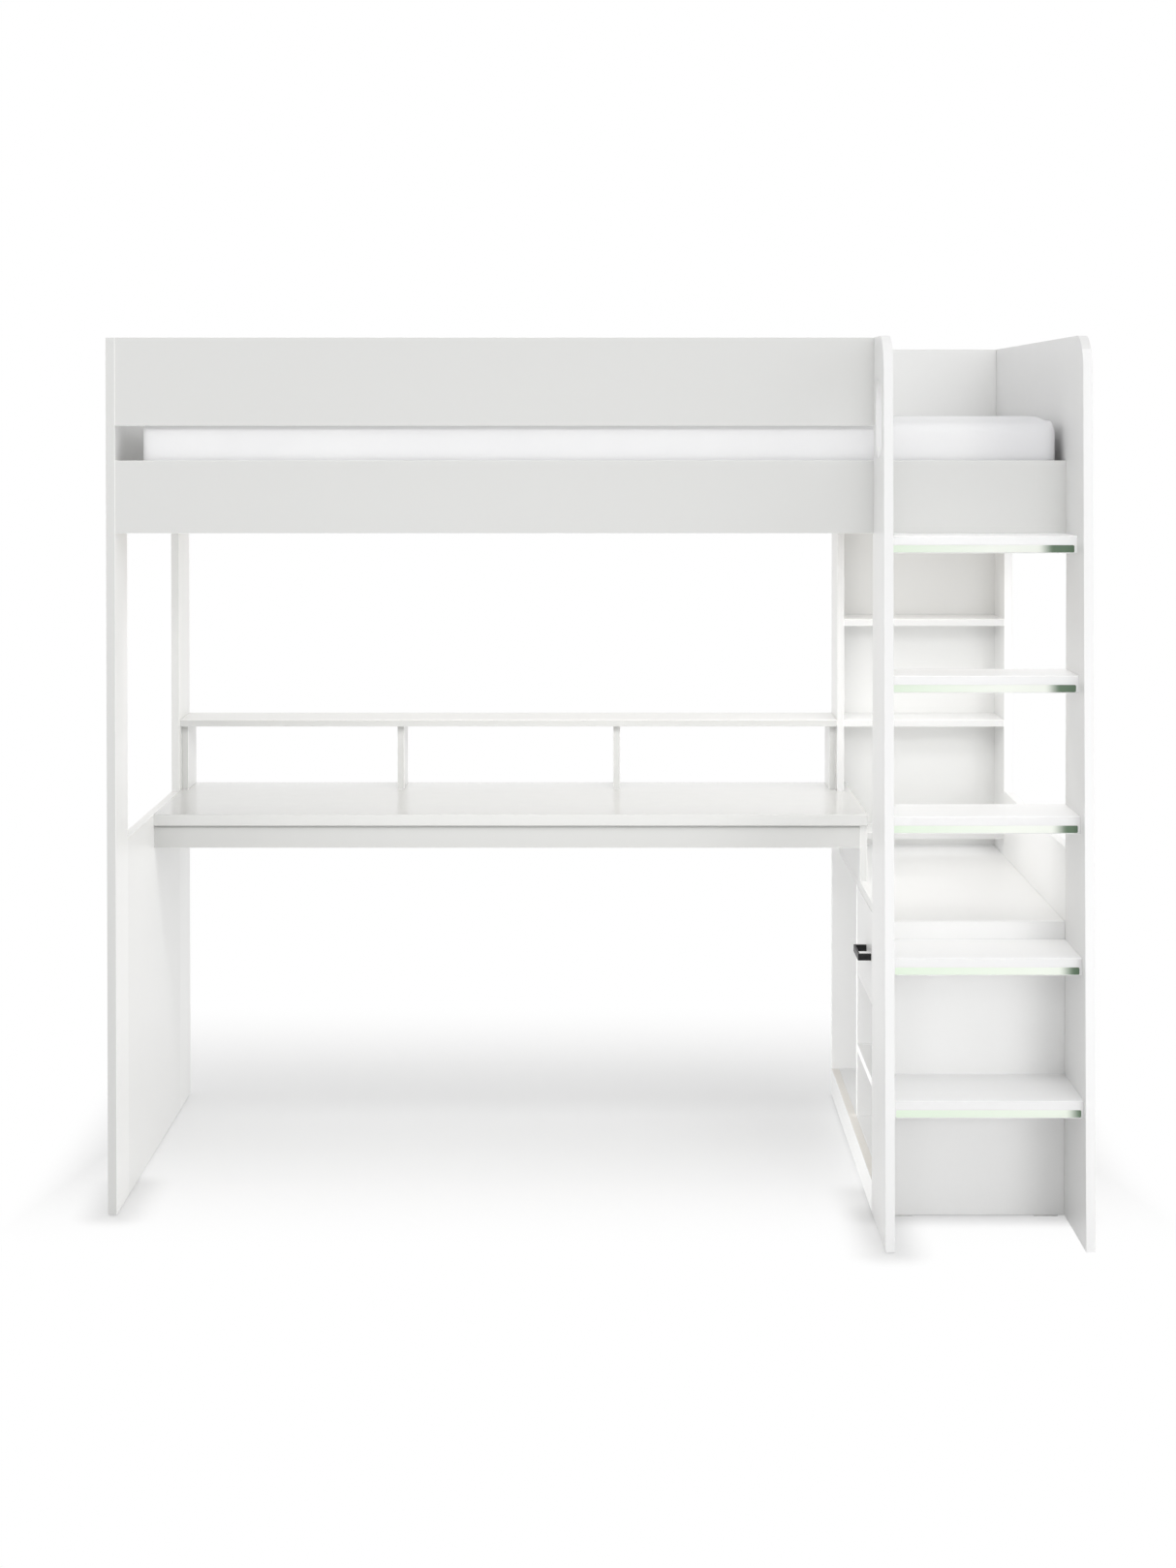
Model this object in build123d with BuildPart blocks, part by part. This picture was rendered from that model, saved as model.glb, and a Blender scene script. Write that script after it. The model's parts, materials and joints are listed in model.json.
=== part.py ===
from build123d import *
import os

os.makedirs("parts", exist_ok=True)

# Loft bed with a desk, hutch, bookcase, side cabinet and ladder. Millimetres, +Z up.
# The origin is on the floor, at the middle of the outside box. The ladder faces -Y.

# Mattress and the room it lies in
mattress_length = 1900
mattress_width = 900
mattress_thickness = 152
mattress_play_length = 62
mattress_play_width = 22
mattress_shift = 18
mattress_corner = 26
mattress_edge = 18
mattress_pull_in = 4
mattress_crown = 8
mattress_seat = 0.3

# Boards
panel = 19
light_panel = 16
back_board = 8
edge_ease = 0.8
edge_round = 2.5
glide_height = 3
glide_length = 50
glide_width = 16
glide_ease = 0.8
glide_inset = 38

# Heights from the floor up
cabinet_height = 613
desk_support_height = 126
desk_thickness = 26
hutch_height = 170
shelf_spacing = 240
rail_bottom = 1416
rail_height = 150
guard_gap = 72
guard_height = 182

# Bed ends
front_post_width = 136
back_post_width = 153

# Ladder
ladder_clear = 378
ladder_reach = 240
ladder_top_reach = 177
ladder_corner = 70
tread_count = 5
first_tread = 296
tread_thickness = 35
tread_reach_low = 210
tread_reach_high = 120
strip_drop = 18.5
strip_height = 14.5
strip_depth = 8
strip_recess = 0.8
strip_margin = 5
strip_corner = 2.5
strip_play = 0.2
hand_hole_height = 157
hand_hole_width = 110
hand_hole_margin = 36
hand_hole_middle = 1652
housing_depth = 6
housing_play = 0.2

# Slatted base
ledger_width = 25
ledger_height = 40
slat_count = 14
slat_width = 75
slat_thickness = 18
slat_margin = 32
slat_play = 1
base_drop = 66

# Desk and hutch
desk_depth = 512
apron_height = 50
apron_setback = 7
apron_rebate_height = 4
apron_rebate_depth = 4
cleat_size = 22
cleat_length = 380
hutch_depth = 150
hutch_setback = 28
hutch_bays = 3

# Bookcase over the cabinet
bottom_board_gap = 38

# Side cabinet
plinth_height = 65
front_bay = 497
lower_bay = 149
shelf_play = 1
shelf_pin_radius = 2.5
shelf_pin_length = 16
shelf_pin_in_wall = 9
shelf_pin_inset = 50
shelf_pin_play = 0.1

# Drawer
drawer_front_height = 198
drawer_gap = 2
drawer_length = 330
drawer_side_height = 120
drawer_side_lift = 20
drawer_board = 12
drawer_bottom_thickness = 4
drawer_bottom_lift = 9
groove_depth = 5
groove_play = 0.2
runner_space = 13
runner_height = 35
runner_wall = 1.5
runner_length = 310
runner_gap = 0.3
runner_setback = 4

# Drawer handle and its screws
handle_spacing = 96
handle_reach = 28
handle_height = 14
handle_leg = 7
handle_bar = 4
handle_round = 3
handle_screw_radius = 2
handle_screw_bite = 12
screw_head_radius = 4
screw_head_height = 2.5
screw_play = 0.1

# Bolts that hold the rails between the ends
bolt_radius = 3
bolt_length = 60
bolt_head_radius = 7
bolt_head_height = 3
bolt_play = 0.2
nut_size = 10
nut_thickness = 5
nut_distance = 30
socket_size = 4
socket_depth = 2
tenon_length = 8
tenon_thickness = 11
tenon_shoulder = 25

# Hexagon screws that hold the ladder to the rail and the guard
ladder_screw_radius = 3
ladder_screw_length = 45
ladder_screw_head_size = 10
ladder_screw_head_height = 4
ladder_screw_drop = 30

# Places worked out from the sizes above
inner_length = mattress_length + mattress_play_length
inner_width = mattress_width + mattress_play_width
bed_length = inner_length + 2 * panel
bed_depth = inner_width + 2 * panel
rail_top = rail_bottom + rail_height
guard_bottom = rail_top + guard_gap
bed_height = guard_bottom + guard_height
desk_underside = cabinet_height + desk_support_height
desk_height = desk_underside + desk_thickness
hutch_top_height = desk_height + hutch_height
upper_shelf_height = hutch_top_height + shelf_spacing

x_left = -bed_length / 2
x_right = bed_length / 2
x_left_in = x_left + panel
x_right_in = x_right - panel
x_side_in = x_right_in - ladder_clear
x_side_out = x_side_in - panel
x_support = x_side_in + light_panel
x_book = x_side_out + light_panel
x_side_middle = (x_side_out + x_side_in) / 2

y_feet = -(bed_depth + ladder_reach) / 2
y_front = y_feet + ladder_reach
y_rail = y_front + panel
y_back = y_front + bed_depth
y_wall = y_back - panel
y_book = y_back - back_post_width
y_book_back = y_back - back_board
y_front_post = y_front + front_post_width
y_desk = y_back - desk_depth
y_divider = y_rail + front_bay
y_divider_back = y_divider + panel
y_rail_middle = (y_front + y_rail) / 2
y_wall_middle = (y_wall + y_back) / 2

floor_gap = glide_height
top_underside = cabinet_height - panel
base_height = rail_top - base_drop
slat_bottom = base_height - slat_thickness
tread_rise = (rail_bottom - first_tread) / (tread_count - 1)
tread_step_back = (tread_reach_low - tread_reach_high) / (tread_count - 1)

all_min = (Align.MIN, Align.MIN, Align.MIN)


def board(x_span, y_span, z_span):
    with BuildPart() as piece:
        with Locations((x_span[0], y_span[0], z_span[0])):
            Box(
                x_span[1] - x_span[0],
                y_span[1] - y_span[0],
                z_span[1] - z_span[0],
                align=all_min,
            )
        chamfer(piece.edges(), edge_ease)
    return piece


def save(piece, name):
    piece.part.label = name
    export_step(piece.part, f"parts/{name}.step")


def facing(point, direction):
    return Plane(origin=point, z_dir=direction)


# Each rail end has a stub tenon in the board beside it and one bolt with a square nut in a pocket
rail_middle = (rail_bottom + rail_top) / 2
guard_middle = (guard_bottom + bed_height) / 2
wall_middle = (rail_bottom + bed_height) / 2
rail_joint = (y_rail_middle, rail_middle, rail_height - 2 * tenon_shoulder)
guard_joint = (y_rail_middle, guard_middle, guard_height - 2 * tenon_shoulder)
wall_joint = (y_wall_middle, wall_middle, bed_height - rail_bottom - 2 * tenon_shoulder)
bolt_hole = bolt_radius + bolt_play
bolt_end = bolt_length - panel + bolt_play
nut_pocket = nut_size + 2 * bolt_play
nut_pocket_width = nut_thickness + 2 * bolt_play
nut_pocket_depth = (panel + nut_pocket) / 2


def post_joint(joint, x_out, way):
    y, z, height = joint
    with Locations((x_out + way * (panel - tenon_length / 2), y, z)):
        Box(
            tenon_length + 2 * bolt_play,
            tenon_thickness + 2 * bolt_play,
            height + 2 * bolt_play,
            mode=Mode.SUBTRACT,
        )
    with Locations(facing((x_out, y, z), (-way, 0, 0))):
        CounterBoreHole(bolt_hole, bolt_head_radius + bolt_play, bolt_head_height)


def rail_joint_end(joint, x_in, way, y_inside, inward):
    y, z, height = joint
    with Locations((x_in - way * tenon_length / 2, y, z)):
        Box(tenon_length, tenon_thickness, height)
    with Locations(facing((x_in - way * tenon_length, y, z), (-way, 0, 0))):
        Hole(bolt_hole, bolt_end + tenon_length)
    with Locations((x_in + way * nut_distance, y_inside - inward * nut_pocket_depth / 2, z)):
        Box(nut_pocket_width, nut_pocket_depth, nut_pocket, mode=Mode.SUBTRACT)


# Left end: two posts, the low panel beside the desk and the panel at the bed
left_front_blank = board((x_left, x_left_in), (y_front, y_front_post), (floor_gap, bed_height))
with BuildPart() as left_front_post:
    add(left_front_blank.part)
    post_joint(rail_joint, x_left, 1)
    post_joint(guard_joint, x_left, 1)
save(left_front_post, "left_front_post")

left_back_blank = board((x_left, x_left_in), (y_book, y_back), (floor_gap, bed_height))
with BuildPart() as left_back_post:
    add(left_back_blank.part)
    post_joint(wall_joint, x_left, 1)
save(left_back_post, "left_back_post")

left_lower_panel = board((x_left, x_left_in), (y_front_post, y_book), (floor_gap, desk_height))
save(left_lower_panel, "left_lower_panel")

left_upper_panel = board((x_left, x_left_in), (y_front_post, y_book), (rail_bottom, bed_height))
save(left_upper_panel, "left_upper_panel")

# Ladder treads, counted from the floor, with a coloured strip in each front edge
tread_tops = [first_tread + i * tread_rise for i in range(tread_count)]
tread_fronts = [y_front - tread_reach_low + i * tread_step_back for i in range(tread_count)]
strip_length = ladder_clear - 2 * strip_margin
x_tread_middle = (x_side_in + x_right_in) / 2


def strip_plane(top, front):
    middle = top - strip_drop - strip_height / 2
    return Plane(origin=(x_tread_middle, front, middle), x_dir=(1, 0, 0), z_dir=(0, -1, 0))


for i in range(tread_count):
    top = tread_tops[i]
    front = tread_fronts[i]
    with BuildPart() as tread:
        with Locations((x_side_in - housing_depth, front, top - tread_thickness)):
            Box(ladder_clear + 2 * housing_depth, y_front - front, tread_thickness, align=all_min)
        front_face = tread.faces().sort_by(Axis.Y)[0]
        fillet(front_face.edges().filter_by(Axis.X), edge_round)
        with BuildSketch(strip_plane(top, front)):
            RectangleRounded(
                strip_length + 2 * strip_play,
                strip_height + 2 * strip_play,
                strip_corner + strip_play,
            )
        extrude(amount=-strip_depth - strip_recess, mode=Mode.SUBTRACT)
    save(tread, f"ladder_tread_{i + 1}")

with BuildPart() as tread_strips:
    for top, front in zip(tread_tops, tread_fronts):
        with BuildSketch(strip_plane(top, front + strip_recess)):
            RectangleRounded(strip_length, strip_height, strip_corner)
    extrude(amount=-strip_depth)
save(tread_strips, "tread_strips")


def tread_housings(x_face, way):
    depth = housing_depth + housing_play
    for top, front in zip(tread_tops, tread_fronts):
        with Locations((x_face - way * depth / 2, (front + y_front) / 2, top - tread_thickness / 2)):
            Box(
                depth,
                y_front - front + 2 * housing_play,
                tread_thickness + 2 * housing_play,
                mode=Mode.SUBTRACT,
            )


# Ladder side beside the desk, with its shoulder under the rail and its hand hole
ladder_screw_heights = [rail_top - ladder_screw_drop, guard_middle]
ladder_screw_bite = ladder_screw_length - panel
with BuildPart() as ladder_left_side:
    with BuildSketch(Plane.YZ.offset(x_side_out)):
        with BuildLine():
            Polyline(
                (y_feet, floor_gap),
                (y_rail, floor_gap),
                (y_rail, rail_bottom),
                (y_front, rail_bottom),
                (y_front, bed_height),
                (y_front - ladder_top_reach, bed_height),
                close=True,
            )
        make_face()
        hand_hole_y = y_front - hand_hole_margin - hand_hole_width / 2
        with Locations((hand_hole_y, hand_hole_middle)):
            SlotOverall(hand_hole_height, hand_hole_width, rotation=90, mode=Mode.SUBTRACT)
    extrude(amount=panel)
    top_front = ladder_left_side.edges().filter_by(Axis.X).group_by(Axis.Z)[-1].sort_by(Axis.Y)[0]
    fillet(top_front, ladder_corner)
    side_faces = ladder_left_side.faces().filter_by(Axis.X)
    chamfer(side_faces.edges(), edge_ease)
    tread_housings(x_side_in, 1)
    with Locations(*[facing((x_side_middle, y_front, z), (0, 1, 0)) for z in ladder_screw_heights]):
        Hole(ladder_screw_radius + screw_play, ladder_screw_bite + screw_play)
save(ladder_left_side, "ladder_left_side")

# Right end: one board that is the ladder's other side and the panel at the bed
with BuildPart() as right_end_panel:
    with BuildSketch(Plane.YZ.offset(x_right_in)):
        with BuildLine():
            Polyline(
                (y_feet, floor_gap),
                (y_front, floor_gap),
                (y_front, rail_bottom),
                (y_back, rail_bottom),
                (y_back, bed_height),
                (y_front - ladder_top_reach, bed_height),
                close=True,
            )
        make_face()
    extrude(amount=panel)
    top_front = right_end_panel.edges().filter_by(Axis.X).group_by(Axis.Z)[-1].sort_by(Axis.Y)[0]
    fillet(top_front, ladder_corner)
    side_faces = right_end_panel.faces().filter_by(Axis.X)
    chamfer(side_faces.edges(), edge_ease)
    tread_housings(x_right_in, -1)
    post_joint(rail_joint, x_right, -1)
    post_joint(wall_joint, x_right, -1)
save(right_end_panel, "right_end_panel")

right_back_post = board((x_right_in, x_right), (y_book, y_back), (floor_gap, rail_bottom))
save(right_back_post, "right_back_post")

right_lower_panel = board((x_right_in, x_right), (y_front, y_book), (floor_gap, desk_height))
save(right_lower_panel, "right_lower_panel")

# Front rail, guard and back panel, bolted between the ends
front_rail_blank = board((x_left_in, x_right_in), (y_front, y_rail), (rail_bottom, rail_top))
with BuildPart() as front_rail:
    add(front_rail_blank.part)
    rail_joint_end(rail_joint, x_left_in, 1, y_rail, 1)
    rail_joint_end(rail_joint, x_right_in, -1, y_rail, 1)
    with Locations(facing((x_side_middle, y_rail, ladder_screw_heights[0]), (0, 1, 0))):
        Hole(ladder_screw_radius + screw_play, panel)
save(front_rail, "front_rail")

front_guard_blank = board((x_left_in, x_side_in), (y_front, y_rail), (guard_bottom, bed_height))
with BuildPart() as front_guard:
    add(front_guard_blank.part)
    rail_joint_end(guard_joint, x_left_in, 1, y_rail, 1)
    with Locations(facing((x_side_middle, y_rail, ladder_screw_heights[1]), (0, 1, 0))):
        Hole(ladder_screw_radius + screw_play, panel)
save(front_guard, "front_guard")

back_panel_blank = board((x_left_in, x_right_in), (y_wall, y_back), (rail_bottom, bed_height))
with BuildPart() as back_panel:
    add(back_panel_blank.part)
    rail_joint_end(wall_joint, x_left_in, 1, y_wall, -1)
    rail_joint_end(wall_joint, x_right_in, -1, y_wall, -1)
save(back_panel, "back_panel")

# Bolts, their nuts and the ladder screws
bolted_joints = [
    (rail_joint, x_left, 1),
    (guard_joint, x_left, 1),
    (wall_joint, x_left, 1),
    (rail_joint, x_right, -1),
    (wall_joint, x_right, -1),
]
with BuildPart() as rail_bolts:
    for joint, x_out, way in bolted_joints:
        with Locations(facing((x_out, joint[0], joint[1]), (way, 0, 0))):
            Cylinder(
                bolt_head_radius,
                bolt_head_height,
                align=(Align.CENTER, Align.CENTER, Align.MIN),
            )
            Cylinder(
                bolt_radius,
                bolt_length,
                align=(Align.CENTER, Align.CENTER, Align.MIN),
            )
        with BuildSketch(facing((x_out, joint[0], joint[1]), (way, 0, 0))):
            RegularPolygon(socket_size / 2, 6, major_radius=False)
        extrude(amount=socket_depth, mode=Mode.SUBTRACT)
save(rail_bolts, "rail_bolts")

with BuildPart() as rail_nuts:
    for joint, x_out, way in bolted_joints:
        x_nut = x_out + way * (panel + nut_distance)
        with Locations((x_nut, joint[0], joint[1])):
            Box(nut_thickness, nut_size, nut_size)
        with Locations(facing((x_nut + nut_thickness / 2, joint[0], joint[1]), (1, 0, 0))):
            Hole(bolt_radius + screw_play, nut_thickness)
save(rail_nuts, "rail_nuts")

with BuildPart() as ladder_screws:
    for z in ladder_screw_heights:
        with BuildSketch(facing((x_side_middle, y_rail, z), (0, 1, 0))):
            RegularPolygon(ladder_screw_head_size / 2, 6, major_radius=False)
        extrude(amount=ladder_screw_head_height)
        with Locations(facing((x_side_middle, y_rail, z), (0, -1, 0))):
            Cylinder(
                ladder_screw_radius,
                ladder_screw_length,
                align=(Align.CENTER, Align.CENTER, Align.MIN),
            )
save(ladder_screws, "ladder_screws")

# Slatted base on two ledgers
ledger_span = (slat_bottom - ledger_height, slat_bottom)
front_ledger = board((x_left_in, x_right_in), (y_rail, y_rail + ledger_width), ledger_span)
save(front_ledger, "front_ledger")

back_ledger = board((x_left_in, x_right_in), (y_wall - ledger_width, y_wall), ledger_span)
save(back_ledger, "back_ledger")

slat_spacing = (inner_length - 2 * slat_margin - slat_width) / (slat_count - 1)
slat_middle_y = (y_rail + y_wall) / 2
with BuildPart() as slats:
    with BuildSketch(Plane.XY.offset(slat_bottom)):
        with Locations((0, slat_middle_y)):
            with GridLocations(slat_spacing, 0, slat_count, 1):
                Rectangle(slat_width, inner_width - 2 * slat_play)
    extrude(amount=slat_thickness)
    chamfer(slats.edges().filter_by(Axis.Y), edge_ease)
save(slats, "slats")

# Mattress, with sides drawn in between its corners and a top crowned across its width
half_length = mattress_length / 2
half_width = mattress_width / 2
mattress_bottom = base_height + mattress_seat
crown_radius = half_width ** 2 / (2 * mattress_crown)
crown_axis = mattress_bottom + mattress_thickness - crown_radius
with BuildPart() as mattress:
    with BuildSketch(Plane(origin=(mattress_shift, slat_middle_y, mattress_bottom))):
        with BuildLine():
            ThreePointArc(
                (-half_length, -half_width),
                (0, -half_width + mattress_pull_in),
                (half_length, -half_width),
            )
            ThreePointArc(
                (half_length, -half_width),
                (half_length - mattress_pull_in, 0),
                (half_length, half_width),
            )
            ThreePointArc(
                (half_length, half_width),
                (0, half_width - mattress_pull_in),
                (-half_length, half_width),
            )
            ThreePointArc(
                (-half_length, half_width),
                (-half_length + mattress_pull_in, 0),
                (-half_length, -half_width),
            )
        make_face()
    extrude(amount=mattress_thickness)
    fillet(mattress.edges().filter_by(Axis.Z), mattress_corner)
    with Locations(facing((mattress_shift, slat_middle_y, crown_axis), (1, 0, 0))):
        Cylinder(crown_radius, mattress_length + inner_length, mode=Mode.INTERSECT)
    chamfer(mattress.faces().sort_by(Axis.Z)[-1].edges(), mattress_edge)
save(mattress, "mattress")

# Desk on the cabinet's support and the left end's cleat
with BuildPart() as desk_top:
    with Locations((x_left_in, y_desk, desk_underside)):
        Box(x_support - x_left_in, desk_depth, desk_thickness, align=all_min)
    front_edges = desk_top.faces().sort_by(Axis.Y)[0].edges().filter_by(Axis.X)
    fillet(front_edges, edge_round)
save(desk_top, "desk_top")

y_apron = y_desk + apron_setback
with BuildPart() as desk_apron:
    with BuildSketch(Plane.YZ.offset(x_left_in)):
        with BuildLine():
            Polyline(
                (y_apron, desk_underside - apron_height),
                (y_apron + light_panel, desk_underside - apron_height),
                (y_apron + light_panel, desk_underside),
                (y_apron + apron_rebate_depth, desk_underside),
                (y_apron + apron_rebate_depth, desk_underside - apron_rebate_height),
                (y_apron, desk_underside - apron_rebate_height),
                close=True,
            )
        make_face()
    extrude(amount=x_side_in - x_left_in)
    chamfer(desk_apron.faces().sort_by(Axis.Z)[0].edges().filter_by(Axis.X), edge_ease)
save(desk_apron, "desk_apron")

desk_right_support = board((x_side_in, x_support), (y_apron, y_back), (cabinet_height, desk_underside))
save(desk_right_support, "desk_right_support")

cleat_start = (y_apron + light_panel + y_back - cleat_length) / 2
desk_left_cleat = board(
    (x_left_in, x_left_in + cleat_size),
    (cleat_start, cleat_start + cleat_length),
    (desk_underside - cleat_size, desk_underside),
)
save(desk_left_cleat, "desk_left_cleat")

# Hutch on the desk: a top on four uprights, open at the back
hutch_underside = hutch_top_height - light_panel
hutch_top = board((x_left_in, x_side_out), (y_back - hutch_depth, y_back), (hutch_underside, hutch_top_height))
save(hutch_top, "hutch_top")

hutch_spacing = (x_side_out - x_left_in - light_panel) / hutch_bays
hutch_uprights = ["hutch_left_upright", "hutch_divider_1", "hutch_divider_2", "hutch_right_upright"]
for i in range(hutch_bays + 1):
    x = x_left_in + i * hutch_spacing
    upright = board(
        (x, x + light_panel),
        (y_back - hutch_depth + hutch_setback, y_back),
        (desk_height, hutch_underside),
    )
    save(upright, hutch_uprights[i])

# Bookcase between the desk and the right end, over the cabinet
bookcase_left_side = board((x_side_out, x_book), (y_book, y_back), (desk_height, rail_bottom))
save(bookcase_left_side, "bookcase_left_side")

with BuildPart() as bookcase_back:
    with BuildSketch(Plane.XZ.offset(-y_back)):
        with BuildLine():
            Polyline(
                (x_support, cabinet_height),
                (x_right_in, cabinet_height),
                (x_right_in, rail_bottom),
                (x_book, rail_bottom),
                (x_book, desk_height),
                (x_support, desk_height),
                close=True,
            )
        make_face()
    extrude(amount=back_board)
save(bookcase_back, "bookcase_back")

bottom_board_low = cabinet_height + bottom_board_gap
shelf_levels = [
    ("bookcase_bottom", x_support, bottom_board_low),
    ("bookcase_lower_shelf", x_book, hutch_underside),
    ("bookcase_upper_shelf", x_book, upper_shelf_height - light_panel),
]
for name, x_start, low in shelf_levels:
    shelf = board((x_start, x_right_in), (y_book, y_book_back), (low, low + light_panel))
    save(shelf, name)

# Side cabinet, open towards the knees
plinth_top = floor_gap + plinth_height
shelf_low = plinth_top + lower_bay
shelf_span = (y_rail + shelf_play, y_divider - shelf_play)
pin_height = shelf_low - shelf_pin_radius
pin_columns = (x_side_in + shelf_pin_inset, x_right_in - shelf_pin_inset)
pin_hole_depth = shelf_pin_in_wall + shelf_pin_play


def pin_planes(y_face, way):
    return [facing((x, y_face, pin_height), (0, way, 0)) for x in pin_columns]


cabinet_front_blank = board((x_side_in, x_right_in), (y_front, y_rail), (floor_gap, cabinet_height))
with BuildPart() as cabinet_front_panel:
    add(cabinet_front_blank.part)
    with Locations(*pin_planes(y_rail, 1)):
        Hole(shelf_pin_radius + shelf_pin_play, pin_hole_depth)
save(cabinet_front_panel, "cabinet_front_panel")

cabinet_back_panel = board((x_side_out, x_right_in), (y_wall, y_back), (floor_gap, cabinet_height))
save(cabinet_back_panel, "cabinet_back_panel")

cabinet_plinth = board((x_side_out, x_side_in), (y_rail, y_wall), (floor_gap, plinth_top))
save(cabinet_plinth, "cabinet_plinth")

cabinet_bottom = board((x_side_in, x_right_in), (y_rail, y_wall), (plinth_top - panel, plinth_top))
save(cabinet_bottom, "cabinet_bottom")

cabinet_top = board((x_side_in, x_right_in), (y_rail, y_wall), (top_underside, cabinet_height))
save(cabinet_top, "cabinet_top")

divider_blank = board((x_side_in, x_right_in), (y_divider, y_divider_back), (plinth_top, top_underside))
with BuildPart() as cabinet_divider:
    add(divider_blank.part)
    with Locations(*pin_planes(y_divider, -1)):
        Hole(shelf_pin_radius + shelf_pin_play, pin_hole_depth)
save(cabinet_divider, "cabinet_divider")

cabinet_shelf = board((x_side_in, x_right_in), shelf_span, (shelf_low, shelf_low + light_panel))
save(cabinet_shelf, "cabinet_shelf")

with BuildPart() as shelf_pins:
    for y_face, way in ((y_rail, 1), (y_divider, -1)):
        with Locations(*pin_planes(y_face - way * shelf_pin_in_wall, way)):
            Cylinder(
                shelf_pin_radius,
                shelf_pin_length,
                align=(Align.CENTER, Align.CENTER, Align.MIN),
            )
save(shelf_pins, "shelf_pins")

# Drawer: its front is flush with the cabinet, its box hangs on two channel runners
front_high = top_underside - drawer_gap
front_low = front_high - drawer_front_height
y_drawer = (y_rail + drawer_gap, y_divider - drawer_gap)
x_box = x_side_in + light_panel
x_box_end = x_box + drawer_length
box_low = front_low + drawer_side_lift
box_high = box_low + drawer_side_height
y_box_low = y_rail + runner_space
y_box_high = y_divider - runner_space
groove_low = box_low + drawer_bottom_lift
groove_thickness = drawer_bottom_thickness + 2 * groove_play
groove_bite = groove_depth - groove_play
bottom_low = groove_low + groove_play
y_drawer_middle = (y_rail + y_divider) / 2
handle_middle_z = (front_low + front_high) / 2
handle_legs = [y_drawer_middle - handle_spacing / 2, y_drawer_middle + handle_spacing / 2]


def cut_groove(x_span, y_span):
    with Locations((x_span[0], y_span[0], groove_low)):
        Box(
            x_span[1] - x_span[0],
            y_span[1] - y_span[0],
            groove_thickness,
            align=all_min,
            mode=Mode.SUBTRACT,
        )


groove_x = (x_box - groove_depth, x_box_end - drawer_board + groove_depth)
groove_y = (y_box_low + drawer_board - groove_depth, y_box_high - drawer_board + groove_depth)

drawer_front_blank = board((x_side_in, x_box), y_drawer, (front_low, front_high))
with BuildPart() as drawer_front:
    add(drawer_front_blank.part)
    cut_groove(groove_x, groove_y)
    with Locations(*[facing((x_side_in, y, handle_middle_z), (-1, 0, 0)) for y in handle_legs]):
        Hole(handle_screw_radius + screw_play, light_panel)
save(drawer_front, "drawer_front")

side_blanks = {
    "drawer_near_side": board((x_box, x_box_end), (y_box_low, y_box_low + drawer_board), (box_low, box_high)),
    "drawer_far_side": board((x_box, x_box_end), (y_box_high - drawer_board, y_box_high), (box_low, box_high)),
}
for name, blank in side_blanks.items():
    with BuildPart() as drawer_side:
        add(blank.part)
        cut_groove(groove_x, groove_y)
    save(drawer_side, name)

y_between = (y_box_low + drawer_board, y_box_high - drawer_board)
drawer_back_blank = board((x_box_end - drawer_board, x_box_end), y_between, (box_low, box_high))
with BuildPart() as drawer_back:
    add(drawer_back_blank.part)
    cut_groove(groove_x, groove_y)
save(drawer_back, "drawer_back")

with BuildPart() as drawer_bottom:
    with Locations((groove_x[0] + groove_play, groove_y[0] + groove_play, bottom_low)):
        Box(
            groove_x[1] - groove_x[0] - 2 * groove_play,
            groove_y[1] - groove_y[0] - 2 * groove_play,
            drawer_bottom_thickness,
            align=all_min,
        )
save(drawer_bottom, "drawer_bottom")

# Runners: a channel on the cabinet wall, and a smaller one on the drawer inside it
runner_low = (box_low + box_high - runner_height) / 2
x_runner = x_box + runner_setback
inner_low = runner_low + runner_wall + runner_gap
inner_height = runner_height - 2 * (runner_wall + runner_gap)
channel_reach = runner_space - runner_wall - runner_gap


def channel(y_wall_face, way, low, height):
    y_web = y_wall_face + way * runner_wall
    y_lip = y_wall_face + way * channel_reach
    with BuildSketch(Plane.YZ.offset(x_runner)) as outline:
        with BuildLine():
            Polyline(
                (y_wall_face, low),
                (y_lip, low),
                (y_lip, low + runner_wall),
                (y_web, low + runner_wall),
                (y_web, low + height - runner_wall),
                (y_lip, low + height - runner_wall),
                (y_lip, low + height),
                (y_wall_face, low + height),
                close=True,
            )
        make_face()
    extrude(outline.sketch, amount=runner_length)


with BuildPart() as cabinet_runners:
    channel(y_rail, 1, runner_low, runner_height)
    channel(y_divider, -1, runner_low, runner_height)
save(cabinet_runners, "cabinet_runners")

with BuildPart() as drawer_runners:
    channel(y_box_low, -1, inner_low, inner_height)
    channel(y_box_high, 1, inner_low, inner_height)
save(drawer_runners, "drawer_runners")

# Bow handle and the screws that hold it from inside the drawer
handle_half = (handle_spacing + handle_leg) / 2
x_handle = x_side_in - handle_reach
with BuildPart() as drawer_handle:
    with BuildSketch(Plane.XY.offset(handle_middle_z - handle_height / 2)):
        with Locations((x_handle, y_drawer_middle - handle_half)):
            Rectangle(handle_reach, 2 * handle_half, align=(Align.MIN, Align.MIN))
        with Locations((x_handle + handle_bar, y_drawer_middle - handle_half + handle_leg)):
            Rectangle(
                handle_reach,
                2 * (handle_half - handle_leg),
                align=(Align.MIN, Align.MIN),
                mode=Mode.SUBTRACT,
            )
    extrude(amount=handle_height)
    outer_corners = drawer_handle.edges().filter_by(Axis.Z).group_by(Axis.X)[0]
    fillet(outer_corners, handle_round)
    with Locations(*[facing((x_side_in, y, handle_middle_z), (1, 0, 0)) for y in handle_legs]):
        Hole(handle_screw_radius + screw_play, handle_screw_bite + screw_play)
save(drawer_handle, "drawer_handle")

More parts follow.
